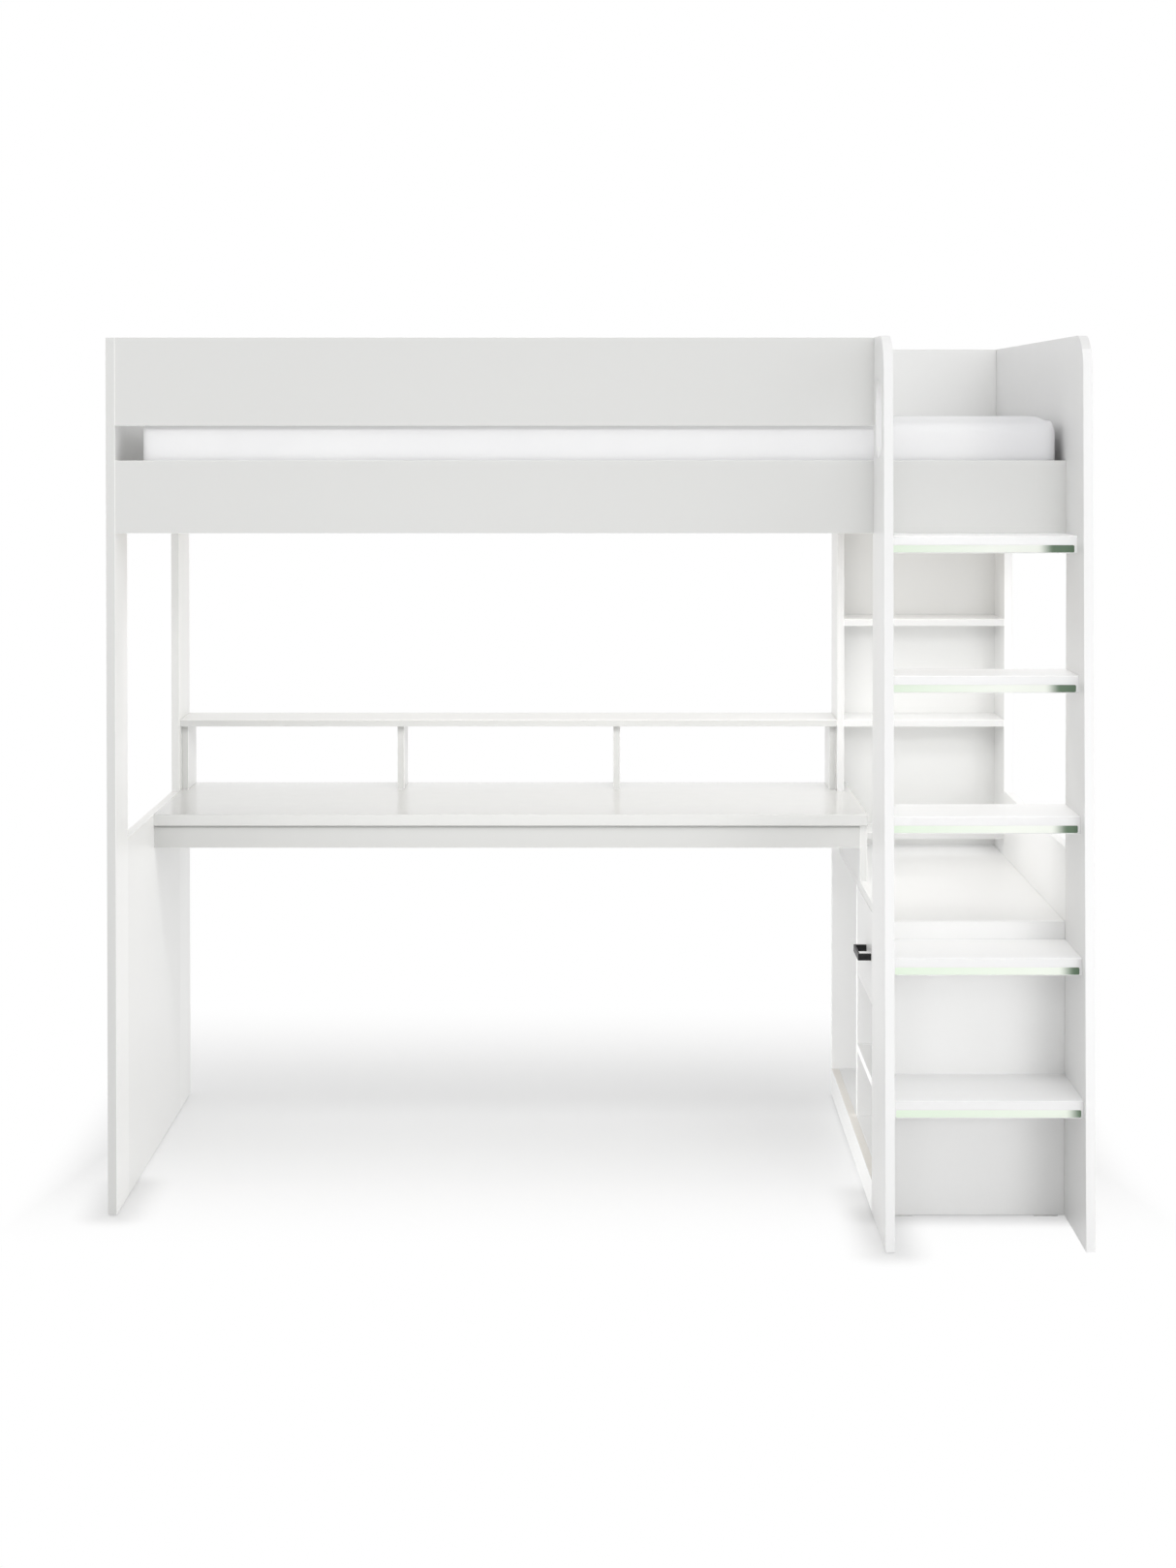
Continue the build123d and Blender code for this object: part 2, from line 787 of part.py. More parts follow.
with BuildPart() as handle_screws:
    for y in handle_legs:
        with Locations(facing((x_box, y, handle_middle_z), (1, 0, 0))):
            Cylinder(
                screw_head_radius,
                screw_head_height,
                align=(Align.CENTER, Align.CENTER, Align.MIN),
            )
        with Locations(facing((x_box, y, handle_middle_z), (-1, 0, 0))):
            Cylinder(
                handle_screw_radius,
                light_panel + handle_screw_bite,
                align=(Align.CENTER, Align.CENTER, Align.MIN),
            )
save(handle_screws, "handle_screws")

# Glides under everything that stands on the floor
x_left_middle = (x_left + x_left_in) / 2
x_right_middle = (x_right + x_right_in) / 2
along_y_glides = [
    (x_left_middle, y_front + glide_inset),
    (x_left_middle, y_front_post - glide_inset),
    (x_left_middle, y_book + glide_inset),
    (x_left_middle, y_back - glide_inset),
    (x_side_middle, y_feet + glide_inset),
    (x_side_middle, y_front - glide_inset),
    (x_side_middle, y_divider),
    (x_right_middle, y_feet + glide_inset),
    (x_right_middle, y_front - glide_inset),
    (x_right_middle, y_book + glide_inset),
    (x_right_middle, y_back - glide_inset),
]
along_x_glides = [
    (x_side_in + glide_inset, y_rail_middle),
    (x_right_in - glide_inset, y_rail_middle),
    (x_side_in + glide_inset, y_wall_middle),
    (x_right_in - glide_inset, y_wall_middle),
]
with BuildPart() as floor_glides:
    with BuildSketch():
        with Locations(*along_y_glides):
            Rectangle(glide_width, glide_length)
        with Locations(*along_x_glides):
            Rectangle(glide_length, glide_width)
    extrude(amount=glide_height)
    chamfer(floor_glides.edges().group_by(Axis.Z)[0], glide_ease)
save(floor_glides, "floor_glides")
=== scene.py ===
import json
import math
import bpy
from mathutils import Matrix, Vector


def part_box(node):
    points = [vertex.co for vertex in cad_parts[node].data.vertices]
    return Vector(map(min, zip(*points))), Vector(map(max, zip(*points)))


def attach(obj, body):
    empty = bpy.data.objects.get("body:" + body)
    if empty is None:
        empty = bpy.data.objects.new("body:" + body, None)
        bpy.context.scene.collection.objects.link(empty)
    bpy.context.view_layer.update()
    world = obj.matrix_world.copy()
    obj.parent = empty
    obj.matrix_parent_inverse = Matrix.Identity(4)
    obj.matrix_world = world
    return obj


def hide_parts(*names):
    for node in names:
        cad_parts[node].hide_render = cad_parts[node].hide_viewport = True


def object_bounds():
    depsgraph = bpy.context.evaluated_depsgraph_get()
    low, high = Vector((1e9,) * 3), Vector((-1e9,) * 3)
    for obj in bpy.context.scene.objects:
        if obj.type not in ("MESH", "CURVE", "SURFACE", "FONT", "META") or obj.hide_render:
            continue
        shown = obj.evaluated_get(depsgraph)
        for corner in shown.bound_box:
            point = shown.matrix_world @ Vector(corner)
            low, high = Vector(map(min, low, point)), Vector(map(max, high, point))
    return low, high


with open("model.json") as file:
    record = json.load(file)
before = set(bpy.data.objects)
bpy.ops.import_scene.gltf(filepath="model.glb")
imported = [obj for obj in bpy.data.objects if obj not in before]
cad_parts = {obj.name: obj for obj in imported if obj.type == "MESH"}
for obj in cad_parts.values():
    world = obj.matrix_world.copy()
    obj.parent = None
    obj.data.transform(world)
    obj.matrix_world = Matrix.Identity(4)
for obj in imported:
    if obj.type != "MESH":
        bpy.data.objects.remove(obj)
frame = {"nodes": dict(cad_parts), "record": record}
nodes = frame["nodes"]
cadLow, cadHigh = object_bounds()
print("frame loaded,", len(nodes), "nodes")


# shader helpers; each takes the material, or the world, that it works in
def newFinish(name):
    finish = bpy.data.materials.new(name)
    finish.use_nodes = True
    return finish, finish.node_tree.nodes["Principled BSDF"]


def addNode(finish, kind, settings=None, sockets=None):
    made = finish.node_tree.nodes.new(kind)
    for key, value in (settings or {}).items():
        setattr(made, key, value)
    for key, value in (sockets or {}).items():
        made.inputs[key].default_value = value
    return made


def feed(finish, value, socket):  # links an output, or sets a colour or a number
    if isinstance(value, bpy.types.NodeSocket):
        finish.node_tree.links.new(value, socket)
    else:
        socket.default_value = (*value, 1.0) if isinstance(value, tuple) else value


def mathNode(finish, operation, *values):
    made = addNode(finish, "ShaderNodeMath", {"operation": operation})
    for value, socket in zip(values, made.inputs):
        feed(finish, value, socket)
    return made.outputs[0]


def mixColour(finish, share, first, second):
    made = addNode(finish, "ShaderNodeMix", {"data_type": "RGBA"})
    for value, slot in ((share, 0), (first, 6), (second, 7)):  # 6 and 7 are the colour sockets
        feed(finish, value, made.inputs[slot])
    return made.outputs[2]


def mapRange(finish, source, fromEnds=(0.0, 1.0), toEnds=(0.0, 1.0), smooth=False):
    made = addNode(finish, "ShaderNodeMapRange", {"interpolation_type": "SMOOTHSTEP" if smooth else "LINEAR"},
                   {"From Min": fromEnds[0], "From Max": fromEnds[1], "To Min": toEnds[0], "To Max": toEnds[1]})
    feed(finish, source, made.inputs["Value"])
    return made.outputs[0]


def objectPlace(finish, scale=(1, 1, 1)):
    place = addNode(finish, "ShaderNodeTexCoord")
    mapping = addNode(finish, "ShaderNodeMapping", None, {"Scale": scale})
    feed(finish, place.outputs["Object"], mapping.inputs["Vector"])
    return mapping.outputs[0]


def axes(finish, coordinate="Object"):  # X, Y and Z of the place, or of the way a face looks
    source = addNode(finish, "ShaderNodeTexCoord")
    parts = addNode(finish, "ShaderNodeSeparateXYZ")
    feed(finish, source.outputs[coordinate], parts.inputs[0])
    return parts.outputs


def noise(finish, vector, scale, detail=2.0, roughness=0.5):
    made = addNode(finish, "ShaderNodeTexNoise", None, {"Scale": scale, "Detail": detail, "Roughness": roughness})
    feed(finish, vector, made.inputs["Vector"])
    return made.outputs[0]


def surface(finish, shader, tone, rough):
    feed(finish, tone, shader.inputs["Base Color"])
    feed(finish, rough, shader.inputs["Roughness"])


def bumpOn(finish, shader, height, strength, depth):
    made = addNode(finish, "ShaderNodeBump", None, {"Strength": strength, "Distance": depth})
    feed(finish, height, made.inputs["Height"])
    feed(finish, made.outputs["Normal"], shader.inputs["Normal"])


def dress(names, finish):
    for name in names:
        for holder in nodes[name].material_slots:
            holder.material = finish


# camera at the photograph's place
photoCamera = {"place": (0.01778, -5.664, 1.656), "tiltDown": 0.9, "sensor": 36, "lens": 59.058,
               "shift": (-0.00715, -0.20828)}
bpy.ops.object.select_all(action="DESELECT")
bpy.ops.object.camera_add(location=photoCamera["place"],
                          rotation=(math.radians(90 - photoCamera["tiltDown"]), 0, 0))
camera = bpy.context.object
camera.name = "photoCamera"
camera.data.sensor_width = photoCamera["sensor"]
camera.data.lens = photoCamera["lens"]
camera.data.shift_x, camera.data.shift_y = photoCamera["shift"]
bpy.context.scene.camera = camera
print("camera set")

# white laminate with painted light and shade: one tone for what faces front and back and one for the rest of a board,
# set board by board
laminate = {"rough": (0.30, 0.40), "mottle": 22, "pearl": 1400, "pearlRough": 0.6, "pearlStrength": 0.25,
            "pearlDepth": 0.00006, "cloud": 2.3, "cloudDetail": 3, "cloudShare": (0.0, 0.06),
            "cloudTone": (0.55, 0.55, 0.53), "facesFront": 0.8, "outer": (0.90, 0.90, 0.893), "skin": 0.0005}


def laminateFinish(name, board):
    finish, shader = newFinish(name)
    place, spot, facing = objectPlace(finish), axes(finish), axes(finish, "Normal")
    side = board["side"]
    if "atWall" in board:  # painted light: paler towards the wall
        paintedLightTowardWall = mapRange(finish, spot["Y"], board["depth"])
        side = mixColour(finish, paintedLightTowardWall, side, board["atWall"])
    # faces that look front or back get their own tone, as painted light and shade
    paintedToneFacingFront = mathNode(finish, "GREATER_THAN", mathNode(finish, "ABSOLUTE", facing["Y"]), laminate["facesFront"])
    tone = mixColour(finish, paintedToneFacingFront, side, board["front"])
    atEnds = mathNode(finish, "GREATER_THAN", mathNode(finish, "ABSOLUTE", spot["X"]), cadHigh.x - laminate["skin"])
    atBack = mathNode(finish, "GREATER_THAN", spot["Y"], cadHigh.y - laminate["skin"])
    outside = mathNode(finish, "MAXIMUM", atEnds, atBack)  # the two ends and the back share one white
    tone = mixColour(finish, outside, tone, laminate["outer"])
    cloud = noise(finish, place, laminate["cloud"], laminate["cloudDetail"])
    tone = mixColour(finish, mapRange(finish, cloud, toEnds=laminate["cloudShare"]), tone, laminate["cloudTone"])
    mottle = noise(finish, place, laminate["mottle"])
    surface(finish, shader, tone, mapRange(finish, mottle, toEnds=board.get("rough", laminate["rough"])))
    pearl = noise(finish, place, laminate["pearl"], roughness=laminate["pearlRough"])
    bumpOn(finish, shader, pearl, laminate["pearlStrength"], laminate["pearlDepth"])
    return finish


slots = {row["node"]: row["material_slot"] for row in frame["record"]["subparts"]}
boards = [name for name, slotName in slots.items() if slotName == "white_board"]


def boardsNamed(*starts):
    return [name for name in boards if name.startswith(starts)]


paintedLightBoardTones = {  # painted light and shade, board by board; a later row takes its boards from the earlier ones
    "bedLaminate": {"front": (0.72, 0.722, 0.71), "side": (0.94, 0.94, 0.93), "nodes": boards},
    "ladderLaminate": {"front": (0.89, 0.89, 0.89), "side": (0.90, 0.90, 0.895),
                       "nodes": ["ladder_left_side", "right_back_post"]},
    "shelfLaminate": {"front": (0.73, 0.73, 0.725), "side": (0.93, 0.93, 0.925),
                      "nodes": ["bookcase_left_side", "bookcase_lower_shelf", "bookcase_upper_shelf",
                                "bookcase_bottom"]},
    "backLaminate": {"front": (0.88, 0.881, 0.87), "side": (0.92, 0.92, 0.91),
                     "nodes": ["back_panel", "bookcase_back"]},
    "hutchLaminate": {"front": (0.61, 0.612, 0.60), "side": (0.92, 0.92, 0.91),
                      "nodes": boardsNamed("hutch") + ["desk_apron"]},
    "endLaminate": {"front": (0.92, 0.92, 0.92), "side": (0.84, 0.84, 0.835), "nodes": ["right_end_panel"]},
    "leftLowLaminate": {"front": (0.72, 0.722, 0.71), "side": (0.89, 0.89, 0.88), "nodes": ["left_lower_panel"]},
    "treadLaminate": {"front": (0.80, 0.80, 0.80), "side": (0.94, 0.94, 0.94),
                      "nodes": boardsNamed("ladder_tread")},
    "caseLaminate": {"front": (0.93, 0.93, 0.925), "side": (0.95, 0.95, 0.945),
                     "nodes": boardsNamed("cabinet", "drawer") + ["right_lower_panel"]},
    "caseTopLaminate": {"front": (0.88, 0.88, 0.875), "side": (0.91, 0.91, 0.905), "nodes": ["cabinet_top"]},
    "dividerLaminate": {"front": (0.83, 0.83, 0.825), "side": (0.95, 0.95, 0.945), "nodes": ["cabinet_divider"]},
    "deskLaminate": {"front": (0.68, 0.682, 0.67), "side": (0.585, 0.585, 0.575), "atWall": (0.83, 0.83, 0.82),
                     "depth": (0.09, 0.58), "rough": (0.14, 0.19), "nodes": ["desk_top"]}}  # smoother than the rest
for name, board in paintedLightBoardTones.items():
    dress(board["nodes"], laminateFinish(name, board))
print("laminate on the boards")

# plinth with its bare top edge
bareEdge = {"laminate": (0.86, 0.86, 0.855), "board": (0.93, 0.905, 0.865), "chips": (0.87, 0.83, 0.77),
            "facesUp": 0.9, "chipScale": 420, "chipDetail": 4, "chipRough": 0.7, "chipShare": (-0.4, 1.2),
            "rough": (0.35, 0.6), "strength": 0.3, "depth": 0.0003}
finish, shader = newFinish("plinthBareEdge")
upward = mathNode(finish, "GREATER_THAN", axes(finish, "Normal")["Z"], bareEdge["facesUp"])
chips = noise(finish, objectPlace(finish), bareEdge["chipScale"], bareEdge["chipDetail"], bareEdge["chipRough"])
bare = mixColour(finish, mapRange(finish, chips, toEnds=bareEdge["chipShare"]), bareEdge["board"], bareEdge["chips"])
surface(finish, shader, mixColour(finish, upward, bareEdge["laminate"], bare),
        mapRange(finish, chips, toEnds=bareEdge["rough"]))
bumpOn(finish, shader, chips, bareEdge["strength"], bareEdge["depth"])
dress(["cabinet_plinth"], finish)

# green strips in the treads, with painted light paling them along the tread and a painted shadow darkening the right
# end
stripLook = {"mint": (0.76, 0.865, 0.725), "pale": (0.89, 0.92, 0.855), "dark": (0.11, 0.175, 0.11),
             "ends": (0.608, 0.976), "paintedShadowSlope": 0.038, "paintedShadowFade": (-0.012, 0.022),
             "steps": (0.45, 1.0), "paintedLightRate": (0.7, 1.8), "cloud": 9, "cloudDetail": 3, "cloudShare": (-0.12, 0.12),
             "grain": 160, "rough": (0.25, 0.38), "nap": 700, "strength": 0.2, "depth": 0.0001}
finish, shader = newFinish("treadStripGreen")
place, spot = objectPlace(finish), axes(finish)
# painted shadow at the right end of each strip, in the dark colour
fromEnd = mathNode(finish, "SUBTRACT", stripLook["ends"][1], spot["X"])
paintedShadowLengthening = mathNode(finish, "MULTIPLY", spot["Z"], stripLook["paintedShadowSlope"])  # the painted shadow at the right end is longer going up
outsidePaintedShade = mapRange(finish, mathNode(finish, "SUBTRACT", fromEnd, paintedShadowLengthening), stripLook["paintedShadowFade"], smooth=True)
along = mapRange(finish, spot["X"], stripLook["ends"])
paintedLightRate = mapRange(finish, spot["Z"], stripLook["steps"], stripLook["paintedLightRate"])  # the painted light pales the upper strips sooner
cloud = noise(finish, place, stripLook["cloud"], stripLook["cloudDetail"])
# painted light pales the strip along its length, plus cloudy tone
paintedLightAndCloud = mathNode(finish, "ADD", mathNode(finish, "MULTIPLY", along, paintedLightRate),
                  mapRange(finish, cloud, toEnds=stripLook["cloudShare"]))
green = mixColour(finish, paintedLightAndCloud, stripLook["mint"], stripLook["pale"])
surface(finish, shader, mixColour(finish, outsidePaintedShade, stripLook["dark"], green),
        mapRange(finish, noise(finish, place, stripLook["grain"]), toEnds=stripLook["rough"]))
bumpOn(finish, shader, noise(finish, place, stripLook["nap"]), stripLook["strength"], stripLook["depth"])
dress(["tread_strips"], finish)

# satin black handle
handleLook = {"black": (0.011, 0.011, 0.012), "worn": (0.03, 0.03, 0.031), "wornShare": (-0.5, 1.0),
              "speck": 600, "speckDetail": 3, "rough": (0.34, 0.44), "specular": 0.25,
              "strength": 0.15, "depth": 0.00005}
finish, shader = newFinish("handleSatinBlack")
speck = noise(finish, objectPlace(finish), handleLook["speck"], handleLook["speckDetail"])
worn = mapRange(finish, speck, toEnds=handleLook["wornShare"])
surface(finish, shader, mixColour(finish, worn, handleLook["black"], handleLook["worn"]),
        mapRange(finish, speck, toEnds=handleLook["rough"]))
shader.inputs["Specular IOR Level"].default_value = handleLook["specular"]
bumpOn(finish, shader, speck, handleLook["strength"], handleLook["depth"])
dress(["drawer_handle"], finish)

# zinc steel of the bolts, nuts, screws and runners
zincLook = {"light": (0.70, 0.71, 0.73), "dark": (0.52, 0.53, 0.55), "brush": (20, 600, 600), "brushDetail": 4,
            "rough": (0.22, 0.42), "strength": 0.1, "depth": 0.00005}
finish, shader = newFinish("zincSteel")
brushed = noise(finish, objectPlace(finish, zincLook["brush"]), 1.0, zincLook["brushDetail"])
surface(finish, shader, mixColour(finish, brushed, zincLook["light"], zincLook["dark"]),
        mapRange(finish, brushed, toEnds=zincLook["rough"]))
shader.inputs["Metallic"].default_value = 1.0
bumpOn(finish, shader, brushed, zincLook["strength"], zincLook["depth"])
dress([name for name, slotName in slots.items() if slotName == "zinc_steel"], finish)

# white plastic glides
glideLook = {"light": (0.80, 0.80, 0.79), "dark": (0.70, 0.70, 0.69), "pebble": 900, "pebbleDetail": 3,
             "rough": (0.5, 0.7), "strength": 0.3, "depth": 0.0002}
finish, shader = newFinish("glidePlastic")
pebble = noise(finish, objectPlace(finish), glideLook["pebble"], glideLook["pebbleDetail"])
surface(finish, shader, mixColour(finish, pebble, glideLook["light"], glideLook["dark"]),
        mapRange(finish, pebble, toEnds=glideLook["rough"]))
bumpOn(finish, shader, pebble, glideLook["strength"], glideLook["depth"])
dress(["floor_glides"], finish)

# pale softwood of the slats and ledgers, its grain along the piece
pineLook = {"early": (0.87, 0.83, 0.75), "late": (0.77, 0.70, 0.59), "along": 1.2, "across": 26, "wander": 0.9,
            "detail": 3, "rings": 34, "ringShare": (0.15, 0.85), "fine": 9, "fineShare": (0.5, 1.1),
            "rough": (0.45, 0.62), "strength": 0.25, "depth": 0.0004}


def pineFinish(name, grainAxis):
    finish, shader = newFinish(name)
    scale = tuple(pineLook["along"] if axis == grainAxis else pineLook["across"] for axis in range(3))
    wander = noise(finish, objectPlace(finish, scale), pineLook["wander"], pineLook["detail"])
    rings = mathNode(finish, "SINE", mathNode(finish, "MULTIPLY", wander, pineLook["rings"]))
    finer = tuple(pineLook["fine"] * value for value in scale)
    fine = noise(finish, objectPlace(finish, finer), 1.0, pineLook["detail"])
    grain = mathNode(finish, "MULTIPLY", mapRange(finish, rings, toEnds=pineLook["ringShare"]),
                     mapRange(finish, fine, toEnds=pineLook["fineShare"]))
    surface(finish, shader, mixColour(finish, grain, pineLook["early"], pineLook["late"]),
            mapRange(finish, fine, toEnds=pineLook["rough"]))
    bumpOn(finish, shader, grain, pineLook["strength"], pineLook["depth"])
    return finish


dress(["slats"], pineFinish("slatPine", 1))
dress(["front_ledger", "back_ledger"], pineFinish("ledgerPine", 0))
print("plinth, strips, handle, steel, glides and pine dressed")

# mattress in its fitted sheet, swollen by a cloth simulation
mattressPad = {"shrink": 0.0005, "corner": 0.010, "cornerSteps": 8, "edge": 0.008, "edgeSteps": 6,
               "upright": 0.05, "level": 0.001, "cell": 0.0145, "held": 0.03, "pressure": 4.0, "frames": 20,
               "sideCaps": (0.0005, 0.002), "topCaps": (0.006, 0.006)}
low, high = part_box("mattress")
centre = (low + high) / 2
bpy.ops.object.select_all(action="DESELECT")
bpy.ops.mesh.primitive_cube_add(size=1, location=centre)
pad = bpy.context.object
pad.name = "mattressSheet"
inset = mattressPad["shrink"]
pad.scale = (high.x - low.x - 2 * inset, high.y - low.y - 2 * inset, high.z - low.z - inset)
bpy.ops.object.transform_apply(location=True, rotation=False, scale=True)


def bevelPad(wanted, width, steps):  # wanted chooses an edge by its rise
    bpy.ops.object.mode_set(mode="EDIT")
    bpy.ops.mesh.select_all(action="DESELECT")
    bpy.ops.object.mode_set(mode="OBJECT")
    for edge in pad.data.edges:
        start, end = (pad.data.vertices[index].co for index in edge.vertices)
        edge.select = wanted(abs(start.z - end.z))
    bpy.ops.object.mode_set(mode="EDIT")
    bpy.ops.mesh.select_mode(type="EDGE")
    bpy.ops.mesh.bevel(offset=width, segments=steps, affect="EDGES")
    bpy.ops.object.mode_set(mode="OBJECT")


bevelPad(lambda rise: rise > mattressPad["upright"], mattressPad["corner"], mattressPad["cornerSteps"])
bevelPad(lambda rise: rise < mattressPad["level"], mattressPad["edge"], mattressPad["edgeSteps"])  # both rims
remesh = pad.modifiers.new("cells", "REMESH")
remesh.mode = "VOXEL"
remesh.voxel_size = mattressPad["cell"]
bpy.ops.object.modifier_apply(modifier="cells")
print("mattress shaped,", len(pad.data.vertices), "points")
startPoints = [vertex.co.copy() for vertex in pad.data.vertices]
onSlats = [vertex.index for vertex in pad.data.vertices if vertex.co.z < low.z + mattressPad["held"]]
pad.vertex_groups.new(name="onSlats").add(onSlats, 1.0, "REPLACE")
cloth = pad.modifiers.new("swell", "CLOTH")
cloth.settings.use_pressure = True
cloth.settings.uniform_pressure_force = mattressPad["pressure"]
cloth.settings.effector_weights.gravity = 0
cloth.settings.vertex_group_mass = "onSlats"
cloth.point_cache.frame_start = 1
cloth.point_cache.frame_end = mattressPad["frames"]
for step in range(1, mattressPad["frames"] + 1):
    bpy.context.scene.frame_set(step)
bpy.ops.object.modifier_apply(modifier="swell")
bpy.context.scene.frame_set(1)
caps = (mattressPad["sideCaps"], mattressPad["sideCaps"], mattressPad["topCaps"])
for vertex, start in zip(pad.data.vertices, startPoints):  # the sheet holds the swelling in
    for axis, (inward, outward) in enumerate(caps):
        away = 1 if start[axis] > centre[axis] else -1
        swell = away * (vertex.co[axis] - start[axis])
        vertex.co[axis] = start[axis] + away * max(-inward, min(outward, swell))
finer = pad.modifiers.new("finer", "SUBSURF")
finer.levels = finer.render_levels = 1
bpy.ops.object.modifier_apply(modifier="finer")
print("mattress swollen,", len(pad.data.polygons), "faces")
bpy.ops.object.select_all(action="DESELECT")
pad.select_set(True)
bpy.context.view_layer.objects.active = pad
bpy.ops.object.shade_smooth()

# cotton of the sheet, with painted shadow greying it towards the right end
sheetLook = {"white": (0.95, 0.95, 0.953), "shade": (0.90, 0.90, 0.91), "paintedShadowGrey": (0.80, 0.80, 0.815),
             "paintedShadowFrom": (0.74, 0.90), "thread": 4200, "cloud": 5.5, "cloudDetail": 4, "cloudShare": (-0.2, 1.2),
             "cloudRise": 6.0, "rough": (0.78, 0.9), "sheen": 0.15, "strength": 0.25, "depth": 0.0003}
finish, shader = newFinish("sheetCotton")
spot = axes(finish)
acrossX, acrossY, acrossZ = (mathNode(finish, "SINE", mathNode(finish, "MULTIPLY", spot[axis], sheetLook["thread"]))
                             for axis in "XYZ")
weave = mathNode(finish, "ADD", mathNode(finish, "MULTIPLY", acrossX, acrossY),
                 mathNode(finish, "MULTIPLY", acrossZ, mathNode(finish, "ADD", acrossX, acrossY)))
cloud = noise(finish, objectPlace(finish), sheetLook["cloud"], sheetLook["cloudDetail"])
tone = mixColour(finish, mapRange(finish, cloud, toEnds=sheetLook["cloudShare"]),
                 sheetLook["white"], sheetLook["shade"])
# painted shadow of the right end panel greys the sheet's right end
paintedShadowTowardEnd = mapRange(finish, spot["X"], sheetLook["paintedShadowFrom"], smooth=True)
surface(finish, shader, mixColour(finish, paintedShadowTowardEnd, tone, sheetLook["paintedShadowGrey"]),
        mapRange(finish, cloud, toEnds=sheetLook["rough"]))
shader.inputs["Sheen Weight"].default_value = sheetLook["sheen"]
threads = mathNode(finish, "ADD", weave, mathNode(finish, "MULTIPLY", cloud, sheetLook["cloudRise"]))
bumpOn(finish, shader, threads, sheetLook["strength"], sheetLook["depth"])
pad.data.materials.append(finish)
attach(pad, "bed")
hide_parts("mattress")
print("mattress dressed")

# floor with a painted shadow under the bed and painted shadows at its feet, over the real shadow it catches, and white
# further out; each glow is (from, to) of a rise
studio = {"floorSize": 60, "floorTone": (0.91, 0.91, 0.91), "paintedFootShadowTone": (0.66, 0.66, 0.66), "floorRough": 0.9,
          "shadowMiddle": 0.50, "alongGlow": ((0.10, 1.07), (0.28, 1.0)), "besideGlow": ((0.98, 1.22), (0.0, 1.0)),
          "footGlow": ((0.0, 0.09), (0.50, 1.0)),
          "feet": {"leftEnd": ((-0.99, -0.25), (0.01, 0.11)), "ladder": ((0.594, -0.40), (0.01, 0.20)),
                   "cabinet": ((0.79, -0.35), (0.19, 0.01))},  # middle and half size
          "ambient": 0.79, "white": (1.0, 1.0, 1.0)}
bpy.ops.object.select_all(action="DESELECT")
bpy.ops.mesh.primitive_plane_add(size=studio["floorSize"], location=(0, 0, 0))
floor = bpy.context.object
floor.name = "studioFloor"
floorFinish, shader = newFinish("studioFloorWhite")
floorSpot = axes(floorFinish)


def seenRays(finish):  # what is seen straight, in gloss or through glass
    rays = addNode(finish, "ShaderNodeLightPath")
    indirect = mathNode(finish, "MAXIMUM", rays.outputs["Is Glossy Ray"], rays.outputs["Is Transmission Ray"])
    return mathNode(finish, "MAXIMUM", rays.outputs["Is Camera Ray"], indirect)


def blendTo(finish, share, first, second, output):
    blend = addNode(finish, "ShaderNodeMixShader")
    for value, socket in zip((share, first.outputs[0], second.outputs[0]), blend.inputs):
        feed(finish, value, socket)
    feed(finish, blend.outputs[0], finish.node_tree.nodes[output].inputs["Surface"])


def beyond(axis, middle, half=0.0):  # how far a spot of the floor lies outside a stretch
    off = mathNode(floorFinish, "ABSOLUTE", mathNode(floorFinish, "SUBTRACT", floorSpot[axis], middle))
    return mathNode(floorFinish, "MAXIMUM", mathNode(floorFinish, "SUBTRACT", off, half), 0.0)


def floorRise(glow, source):
    return mapRange(floorFinish, source, *studio[glow], smooth=True)


# painted shadow under the bed: less white glow there
outsidePaintedShade = mathNode(floorFinish, "MAXIMUM", floorRise("alongGlow", beyond(1, studio["shadowMiddle"])),
                 floorRise("besideGlow", beyond(0, 0.0)))
paintedFootShade = 1.0
for middle, half in studio["feet"].values():
    squares = [mathNode(floorFinish, "POWER", beyond(axis, middle[axis], half[axis]), 2.0) for axis in range(2)]
    apart = mathNode(floorFinish, "SQRT", mathNode(floorFinish, "ADD", *squares))
    paintedFootShade = mathNode(floorFinish, "MULTIPLY", paintedFootShade, floorRise("footGlow", apart))
# the painted shadows at the feet also darken the floor's own colour
surface(floorFinish, shader, mixColour(floorFinish, paintedFootShade, studio["paintedFootShadowTone"], studio["floorTone"]),
        studio["floorRough"])
shader.inputs["Specular IOR Level"].default_value = 0.0
glow = addNode(floorFinish, "ShaderNodeEmission", None, {"Strength": 1.0})
share = mathNode(floorFinish, "MULTIPLY", seenRays(floorFinish), mathNode(floorFinish, "MULTIPLY", outsidePaintedShade, paintedFootShade))
blendTo(floorFinish, share, shader, glow, "Material Output")
floor.data.materials.append(floorFinish)

# even light all round, in front of a white background
world = bpy.data.worlds.new("studioWorld")
bpy.context.scene.world = world
world.use_nodes = True
allRound = world.node_tree.nodes["Background"]
feed(world, studio["white"], allRound.inputs["Color"])
feed(world, studio["ambient"], allRound.inputs["Strength"])
behind = addNode(world, "ShaderNodeBackground", None, {"Strength": 1.0})
feed(world, studio["white"], behind.inputs["Color"])
blendTo(world, seenRays(world), allRound, behind, "World Output")

# weak sun from the right, for the left end's inner face
sideSun = {"place": (5, -3, 2), "height": 18, "turn": 60, "spread": 40, "power": 0.28}
bpy.ops.object.select_all(action="DESELECT")
bpy.ops.object.light_add(type="SUN", location=sideSun["place"],
                         rotation=(math.radians(90 - sideSun["height"]), 0, math.radians(sideSun["turn"])))
light = bpy.context.object
light.name = "sideSun"
light.data.energy = sideSun["power"]
light.data.angle = math.radians(sideSun["spread"])

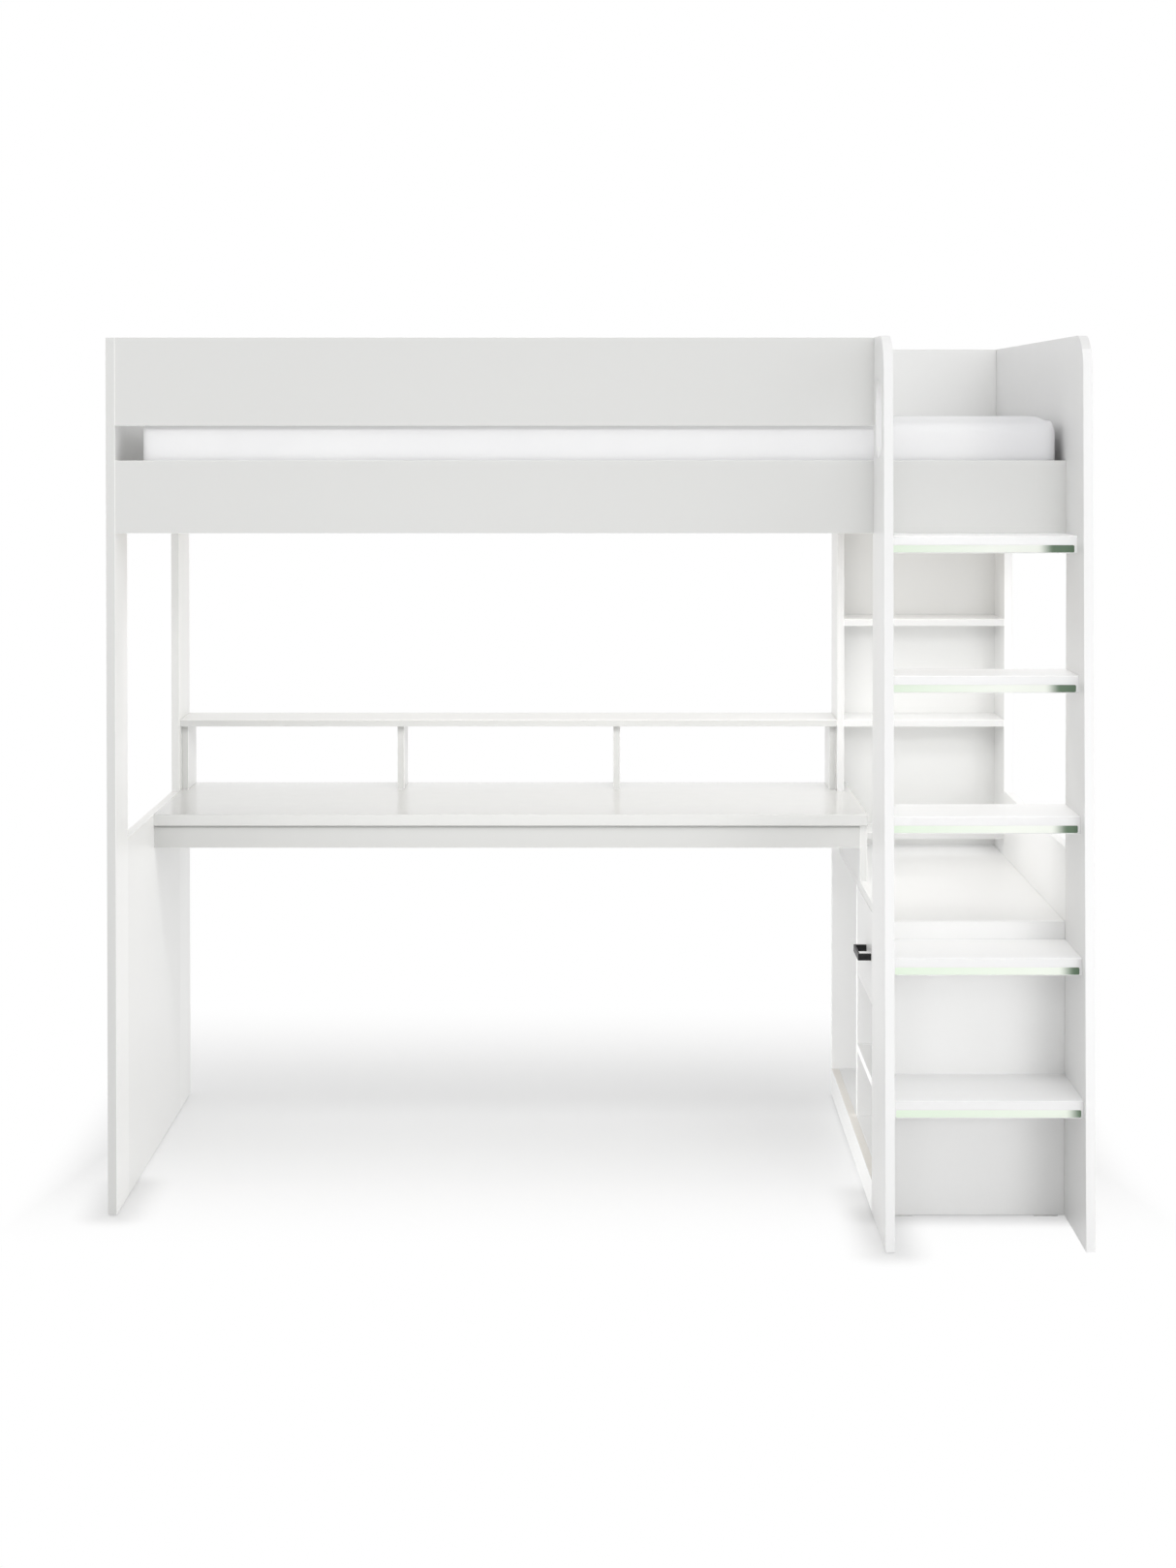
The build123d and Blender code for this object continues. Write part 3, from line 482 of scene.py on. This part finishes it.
# soft panels: three in front, three under the deck, and four for single boards; "lights" names what a panel reaches
softPanels = {
    "bedFront": {"place": (0.0, -5.6, 3.0), "aim": (0.0, -0.36, 1.75), "size": (5.0, 0.6), "spread": 30, "power": 5.2},
    "ladderRight": {"place": (2.1, -4.4, 1.2), "aim": (0.85, -0.40, 0.40), "size": (2.2, 0.8),
                    "spread": 32, "power": 2.1},
    "deskLeft": {"place": (-1.4, -5.2, 0.8), "aim": (-0.2, 0.0, 0.45), "size": (0.8, 0.6), "spread": 30, "power": 0.8},
    "underBed": {"place": (-0.08, -0.28, 1.36), "aim": (-0.08, 0.55, 0.70), "size": (1.5, 0.15),
                 "spread": 140, "power": 2.9},
    "overShelves": {"place": (0.79, 0.08, 1.40), "aim": (0.79, 0.081, 0.0), "size": (0.35, 0.6),
                    "spread": 150, "power": 1.1, "lights": [name for name in boards if name != "bookcase_back"]},
    "underBookcase": {"place": (0.80, 0.52, 0.648), "aim": (0.80, 0.521, 0.0), "size": (0.34, 0.12),
                      "spread": 180, "power": 0.06},
    "besideKnees": {"place": (-0.35, -0.45, 0.45), "aim": (0.75, 0.35, 0.25), "size": (0.6, 0.5),
                    "spread": 120, "power": 3.0,
                    "lights": ["cabinet_back_panel", "cabinet_bottom", "cabinet_divider", "cabinet_shelf",
                               "cabinet_plinth", "right_lower_panel"]},
    "leftEnd": {"place": (0.50, -0.50, 0.45), "aim": (-0.98, 0.20, 0.55), "size": (0.8, 0.8),
                "spread": 180, "power": 2.8, "lights": ["left_front_post", "left_lower_panel", "left_back_post"]},
    "ladderLeft": {"place": (-0.35, -0.20, 0.75), "aim": (0.58, -0.40, 0.75), "size": (0.3, 1.5),
                   "spread": 180, "power": 1.3, "lights": ["ladder_left_side"]},
    "overTreads": {"place": (0.79, -1.60, 2.40), "aim": (0.79, -0.45, 0.85), "size": (0.4, 0.3),
                   "spread": 180, "power": 5.5, "lights": boardsNamed("ladder_tread")}}
for name, panel in softPanels.items():
    aim = Vector(panel["aim"]) - Vector(panel["place"])
    bpy.ops.object.select_all(action="DESELECT")
    bpy.ops.object.light_add(type="AREA", location=panel["place"], rotation=aim.to_track_quat("-Z", "Y").to_euler())
    light = bpy.context.object
    light.name = name
    light.data.shape = "RECTANGLE"
    light.data.size, light.data.size_y = panel["size"]
    light.data.spread = math.radians(panel["spread"])
    light.data.energy = panel["power"]
    light.visible_camera = False
    light.visible_glossy = False
    if "lights" in panel:
        litBoards = bpy.data.collections.new(name + "Lit")
        for board in panel["lights"]:
            litBoards.objects.link(nodes[board])
        light.light_linking.receiver_collection = litBoards
bpy.context.scene.view_settings.view_transform = "Standard"
print("studio set")
